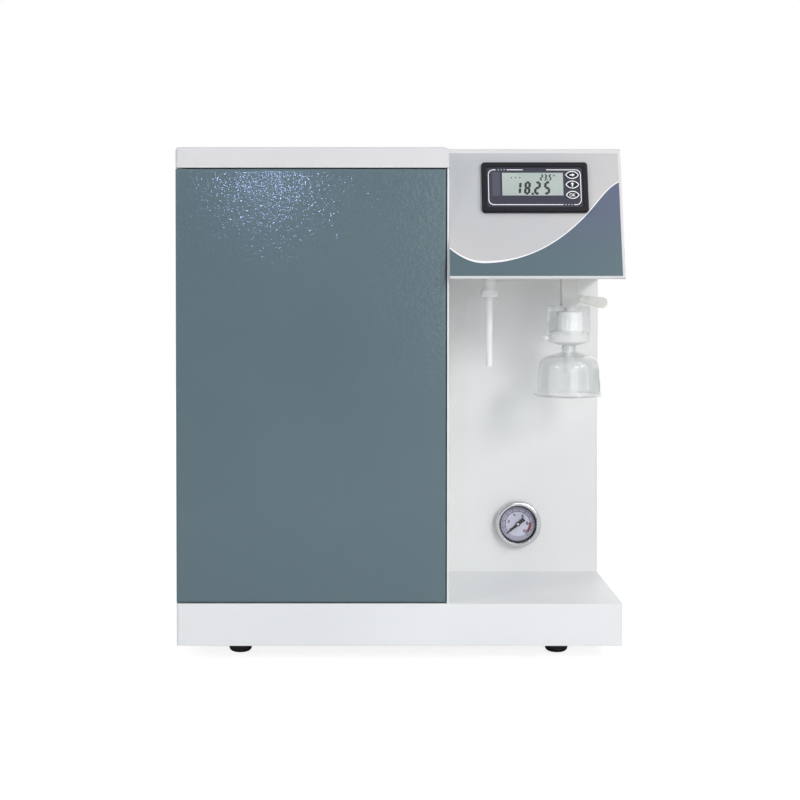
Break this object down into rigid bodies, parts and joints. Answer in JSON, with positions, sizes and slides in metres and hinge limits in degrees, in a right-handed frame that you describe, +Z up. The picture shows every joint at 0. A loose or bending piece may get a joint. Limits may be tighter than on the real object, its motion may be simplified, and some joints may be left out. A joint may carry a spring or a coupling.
{
  "type": "ultrapure water system",
  "caption": "Bench-top ultrapure water system: door over the cartridges on the left, inclined meter head above an open bay with a tube outlet, lever valve, filter bell and gauge.",
  "frame": {"origin": "on the bench, under the centre of the overall box", "axes": "+Z up, -Y towards the front with the door, +X towards the dispensing bay on the right"},
  "size_m": [0.4, 0.48, 0.4605],
  "materials": {
    "case_paint": "smooth satin powder coat, off-white",
    "door_paint": "blue-grey powder coat with a fine speckle",
    "overlay_film": "printed polyester film, light grey",
    "wave_print": "printed polyester film, blue-grey",
    "meter_plastic": "dark navy moulded plastic",
    "key_plastic": "soft dark key caps",
    "lcd": "reflective liquid crystal panel",
    "fitting_plastic": "white acetal",
    "tube_plastic": "white polyethylene tube",
    "clear_plastic": "clear moulded plastic, slightly smoky",
    "membrane": "white pleated membrane",
    "steel": "plain zinc-plated steel",
    "stainless": "drawn stainless steel",
    "chrome": "polished",
    "dial_print": "printed dial plate, pale lavender",
    "pointer_black": "matt black",
    "gauge_glass": "clear",
    "rubber": "black moulded",
    "cartridge_white": "white polypropylene",
    "cartridge_grey": "grey polypropylene",
    "cartridge_blue": "pale blue polypropylene",
    "black_plastic": "fine-grained black plastic",
    "aluminium": "folded sheet"
  },
  "bodies": {
    "case": {"plinth": "case_paint", "base_plate": "aluminium", "feet": "rubber", "case_screws": "steel", "left_side_panel": "case_paint", "right_side_panel": "case_paint", "partition": "case_paint", "bay_back_panel": "case_paint", "rear_panel": "case_paint", "top_cover": "case_paint", "head_shell": "case_paint", "panel_overlay": "overlay_film", "overlay_wave": "wave_print", "meter_bezel": "meter_plastic", "meter_face": "meter_plastic", "lcd_display": "lcd", "meter_body": "black_plastic", "meter_clamps": "black_plastic", "ro_outlet_fitting": "fitting_plastic", "ro_outlet_tube": "tube_plastic", "bulkhead_nuts": "fitting_plastic", "valve_body": "fitting_plastic", "filter_housing": "clear_plastic", "filter_core": "membrane", "filter_base": "clear_plastic", "bell": "clear_plastic", "gauge_case": "stainless", "gauge_bezel": "chrome", "gauge_dial": "dial_print", "gauge_glass": "gauge_glass", "gauge_clamp": "steel", "hinge_pins": "stainless", "door_catches": "black_plastic", "cartridge_plate": "case_paint", "sediment_cartridge": "cartridge_white", "carbon_cartridge": "cartridge_grey", "polishing_cartridge": "cartridge_blue", "cartridge_clips": "fitting_plastic", "ro_membrane_housing": "cartridge_white", "booster_pump": "black_plastic", "pump_mounts": "rubber", "power_supply": "aluminium", "solenoid_valve": "black_plastic", "conductivity_cell": "fitting_plastic", "power_inlet": "black_plastic", "switch_frame": "black_plastic", "rear_ports": "fitting_plastic", "tubing": "tube_plastic"},
    "door": {"door": "door_paint", "hinge_bushings": "fitting_plastic"},
    "lever": {"valve_lever": "fitting_plastic", "valve_spindle": "stainless"},
    "next_key": {"key_next": "key_plastic"},
    "up_key": {"key_up": "key_plastic"},
    "ok_key": {"key_ok": "key_plastic"},
    "pointer": {"gauge_pointer": "pointer_black"},
    "rocker": {"power_rocker": "black_plastic"},
    "outlet_collet": {"ro_outlet_collet": "fitting_plastic"},
    "feed_port_collet": {"feed_collet": "fitting_plastic"},
    "drain_port_collet": {"drain_collet": "fitting_plastic"}
  },
  "joints": [
    {"name": "door_hinge", "type": "hinge", "parent": "case", "child": "door", "pos_m": [-0.195, -0.221, 0.247], "axis": [0, 0, -1], "range_deg": [0, 105]},
    {"name": "valve_lever_pivot", "type": "hinge", "parent": "case", "child": "lever", "pos_m": [0.1723, -0.155, 0.324], "axis": [0, -1, 0], "range_deg": [0, 45]},
    {"name": "next_key_press", "type": "slide", "parent": "case", "child": "next_key", "axis": [0, 0.9608, -0.2773], "range_m": [0, 0.0006], "stiffness_N_per_m": 800, "springref_m": -0.0003},
    {"name": "up_key_press", "type": "slide", "parent": "case", "child": "up_key", "axis": [0, 0.9608, -0.2773], "range_m": [0, 0.0006], "stiffness_N_per_m": 800, "springref_m": -0.0003},
    {"name": "ok_key_press", "type": "slide", "parent": "case", "child": "ok_key", "axis": [0, 0.9608, -0.2773], "range_m": [0, 0.0006], "stiffness_N_per_m": 800, "springref_m": -0.0003},
    {"name": "gauge_pointer_turn", "type": "hinge", "parent": "case", "child": "pointer", "pos_m": [0.1208, -0.084, 0.1], "axis": [0, 1, 0], "range_deg": [0, 270], "stiffness_Nm_per_rad": 0.0001},
    {"name": "power_rocker_tilt", "type": "hinge", "parent": "case", "child": "rocker", "pos_m": [0.104, 0.217, 0.096], "axis": [1, 0, 0], "range_deg": [0, 16]},
    {"name": "outlet_collet_press", "type": "slide", "parent": "case", "child": "outlet_collet", "axis": [0, 0, 1], "range_m": [0, 0.0007], "stiffness_N_per_m": 1500, "springref_m": -0.0003},
    {"name": "feed_collet_press", "type": "slide", "parent": "case", "child": "feed_port_collet", "axis": [0, -1, 0], "range_m": [0, 0.0007], "stiffness_N_per_m": 1500, "springref_m": -0.0003},
    {"name": "drain_collet_press", "type": "slide", "parent": "case", "child": "drain_port_collet", "axis": [0, -1, 0], "range_m": [0, 0.0007], "stiffness_N_per_m": 1500, "springref_m": -0.0003}
  ]
}
